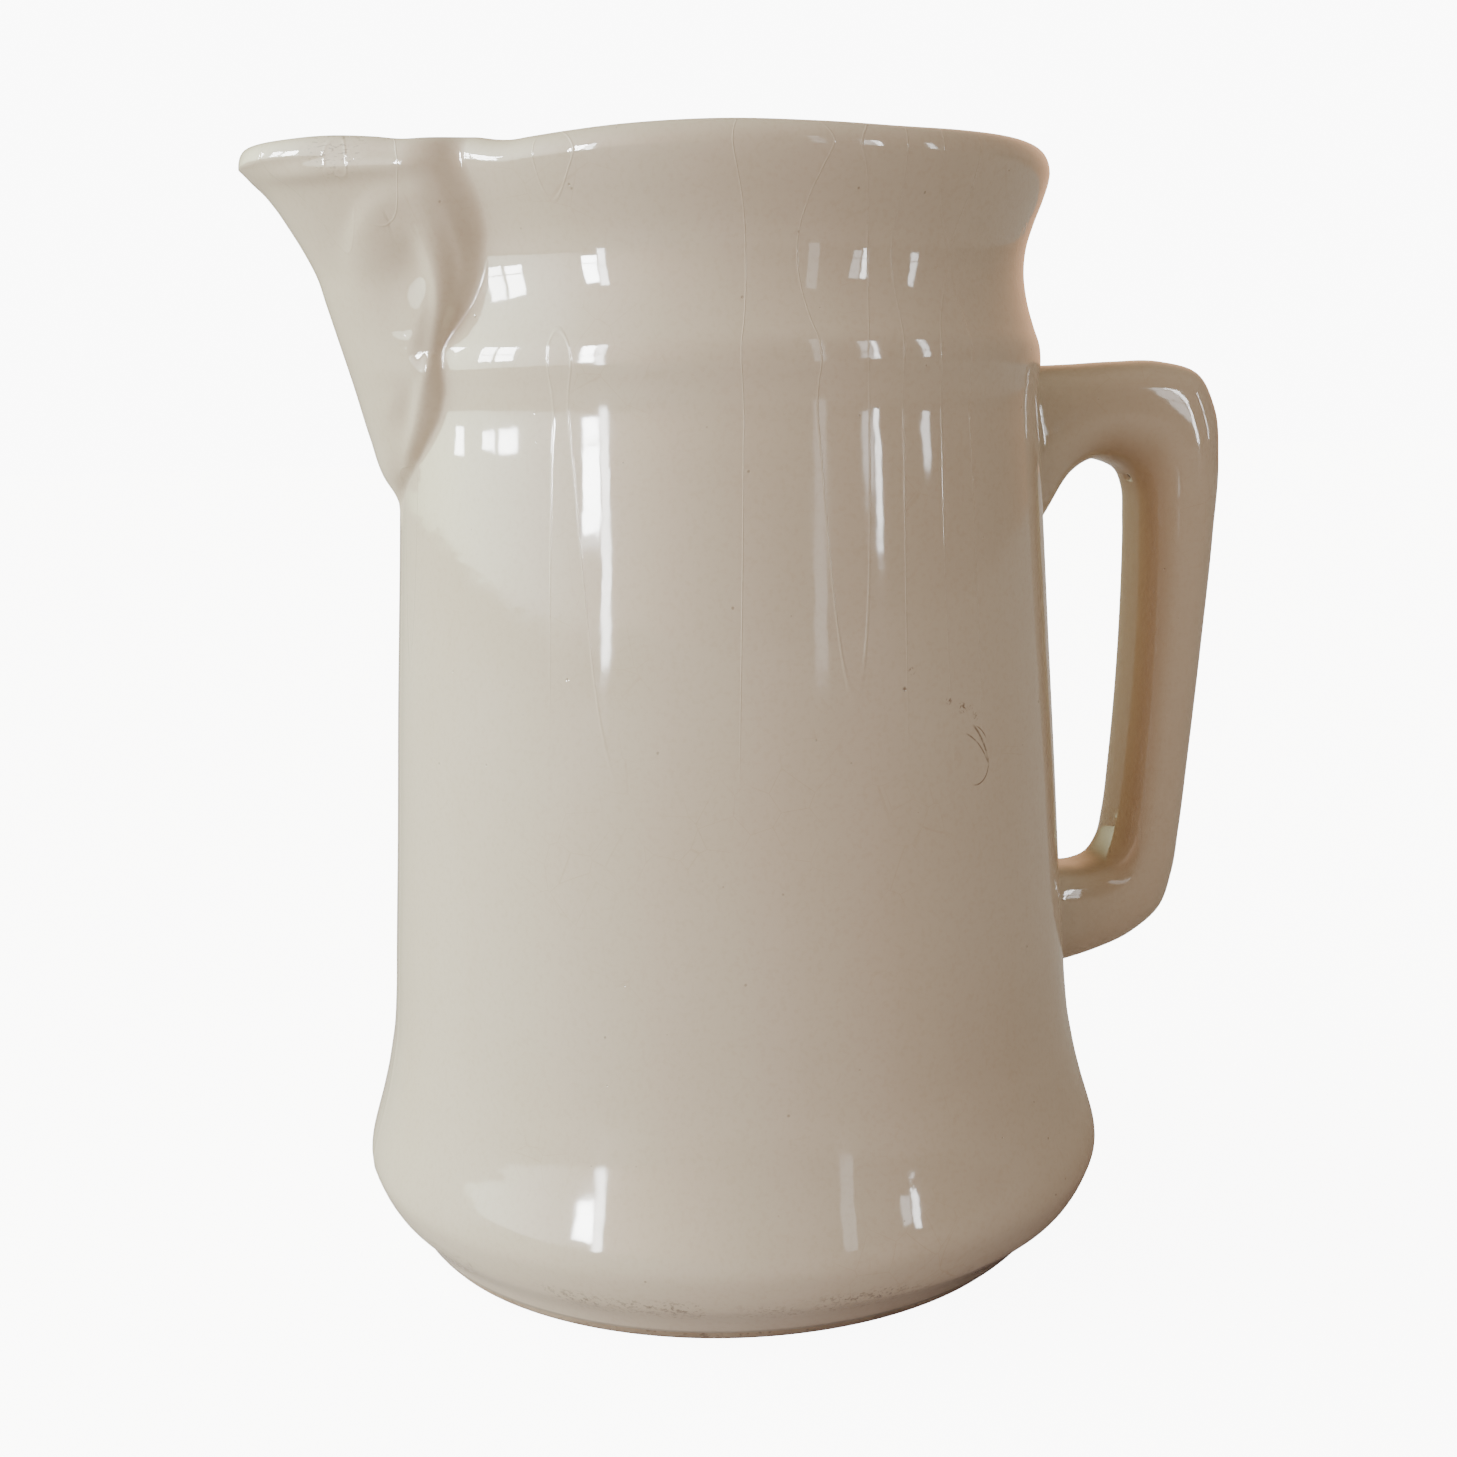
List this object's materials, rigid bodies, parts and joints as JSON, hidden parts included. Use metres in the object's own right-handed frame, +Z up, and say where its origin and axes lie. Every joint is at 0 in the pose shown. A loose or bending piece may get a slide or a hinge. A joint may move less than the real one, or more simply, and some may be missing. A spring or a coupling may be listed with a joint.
{
  "type": "water jug",
  "caption": "Large glazed earthenware water jug with a conical body, flared foot, beaded neck, broad pouring spout with leaf scrolls and a squared loop handle.",
  "frame": {"origin": "on the body's axis, at the plane that the jug stands on", "axes": "+Z up, +X towards the handle, -X towards the spout"},
  "size_m": [0.2363, 0.1774, 0.2516],
  "materials": {
    "glaze": "gloss",
    "bare_clay": "matte"
  },
  "bodies": {
    "root": {"foot_flare": "glaze", "body": "glaze", "neck": "glaze", "floor": "glaze", "foot_ring": "bare_clay", "spout": "glaze", "spout_scroll_left": "glaze", "spout_scroll_right": "glaze", "handle": "glaze", "handle_slip_top": "glaze", "handle_slip_bottom": "glaze"}
  },
  "joints": []
}
